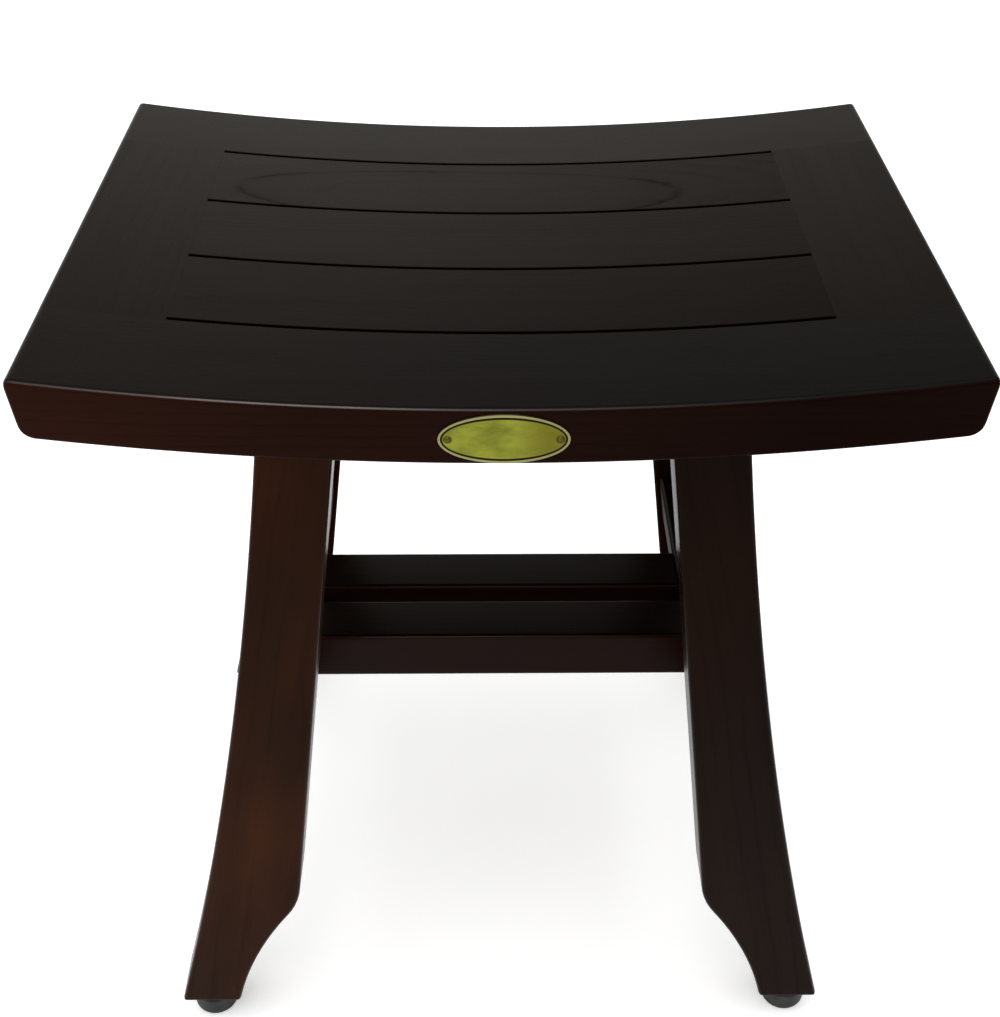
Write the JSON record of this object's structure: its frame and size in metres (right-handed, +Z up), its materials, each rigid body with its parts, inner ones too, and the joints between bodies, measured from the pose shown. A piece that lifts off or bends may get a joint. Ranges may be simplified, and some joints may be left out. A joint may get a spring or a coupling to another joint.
{
  "type": "shower foot rest",
  "caption": "Small dark-stained teak stool with a dished slatted seat, splayed sabre legs, side rails, paired stretchers and levelling feet.",
  "frame": {"origin": "on the floor, under the middle of the seat", "axes": "+Z up, +X to the right as seen from the front, -Y towards the front, where the oval plate is"},
  "size_m": [0.3348, 0.2535, 0.3395],
  "materials": {
    "stained_teak": "satin dark-brown stain over teak",
    "dowel_wood": "plain hardwood",
    "plate_brass": "satin, slightly greenish",
    "insert_brass": "plain turned",
    "steel": "zinc plated",
    "rubber": "matt black"
  },
  "bodies": {
    "stool": {"seat_front_rail": "stained_teak", "seat_rear_rail": "stained_teak", "seat_left_end": "stained_teak", "seat_right_end": "stained_teak", "seat_slat_front": "stained_teak", "seat_slat_middle": "stained_teak", "seat_slat_rear": "stained_teak", "seat_dowels": "dowel_wood", "name_plate": "plate_brass", "plate_pins": "plate_brass", "front_left_leg": "stained_teak", "front_right_leg": "stained_teak", "rear_left_leg": "stained_teak", "rear_right_leg": "stained_teak", "left_top_rail": "stained_teak", "right_top_rail": "stained_teak", "left_side_rail": "stained_teak", "right_side_rail": "stained_teak", "front_stretcher": "stained_teak", "rear_stretcher": "stained_teak", "stretcher_dowels": "dowel_wood", "seat_inserts": "insert_brass", "seat_bolts": "steel", "seat_washers": "steel", "stretcher_inserts": "insert_brass", "stretcher_bolts": "steel", "stretcher_washers": "steel", "foot_inserts": "steel"},
    "pad_front_left": {"foot_pad_front_left": "rubber"},
    "stud_front_left": {"foot_stud_front_left": "steel"},
    "pad_front_right": {"foot_pad_front_right": "rubber"},
    "stud_front_right": {"foot_stud_front_right": "steel"},
    "pad_rear_left": {"foot_pad_rear_left": "rubber"},
    "stud_rear_left": {"foot_stud_rear_left": "steel"},
    "pad_rear_right": {"foot_pad_rear_right": "rubber"},
    "stud_rear_right": {"foot_stud_rear_right": "steel"}
  },
  "joints": [
    {"name": "travel_front_left", "type": "slide", "parent": "stool", "child": "pad_front_left", "axis": [0, 0, -1], "range_m": [0, 0.006]},
    {"name": "turn_front_left", "type": "hinge", "parent": "pad_front_left", "child": "stud_front_left", "pos_m": [-0.1285, -0.1075, 0.01], "axis": [0, 0, -1], "range_deg": [0, 1730]},
    {"name": "travel_front_right", "type": "slide", "parent": "stool", "child": "pad_front_right", "axis": [0, 0, -1], "range_m": [0, 0.006]},
    {"name": "turn_front_right", "type": "hinge", "parent": "pad_front_right", "child": "stud_front_right", "pos_m": [0.1285, -0.1075, 0.01], "axis": [0, 0, -1], "range_deg": [0, 1730]},
    {"name": "travel_rear_left", "type": "slide", "parent": "stool", "child": "pad_rear_left", "axis": [0, 0, -1], "range_m": [0, 0.006]},
    {"name": "turn_rear_left", "type": "hinge", "parent": "pad_rear_left", "child": "stud_rear_left", "pos_m": [-0.133, 0.1075, 0.01], "axis": [0, 0, -1], "range_deg": [0, 1730]},
    {"name": "travel_rear_right", "type": "slide", "parent": "stool", "child": "pad_rear_right", "axis": [0, 0, -1], "range_m": [0, 0.006]},
    {"name": "turn_rear_right", "type": "hinge", "parent": "pad_rear_right", "child": "stud_rear_right", "pos_m": [0.133, 0.1075, 0.01], "axis": [0, 0, -1], "range_deg": [0, 1730]}
  ],
  "couplings": [
    {"joint": "turn_front_left", "follows": "travel_front_left", "rad_per_m": 5026.5},
    {"joint": "turn_front_right", "follows": "travel_front_right", "rad_per_m": 5026.5},
    {"joint": "turn_rear_left", "follows": "travel_rear_left", "rad_per_m": 5026.5},
    {"joint": "turn_rear_right", "follows": "travel_rear_right", "rad_per_m": 5026.5}
  ]
}
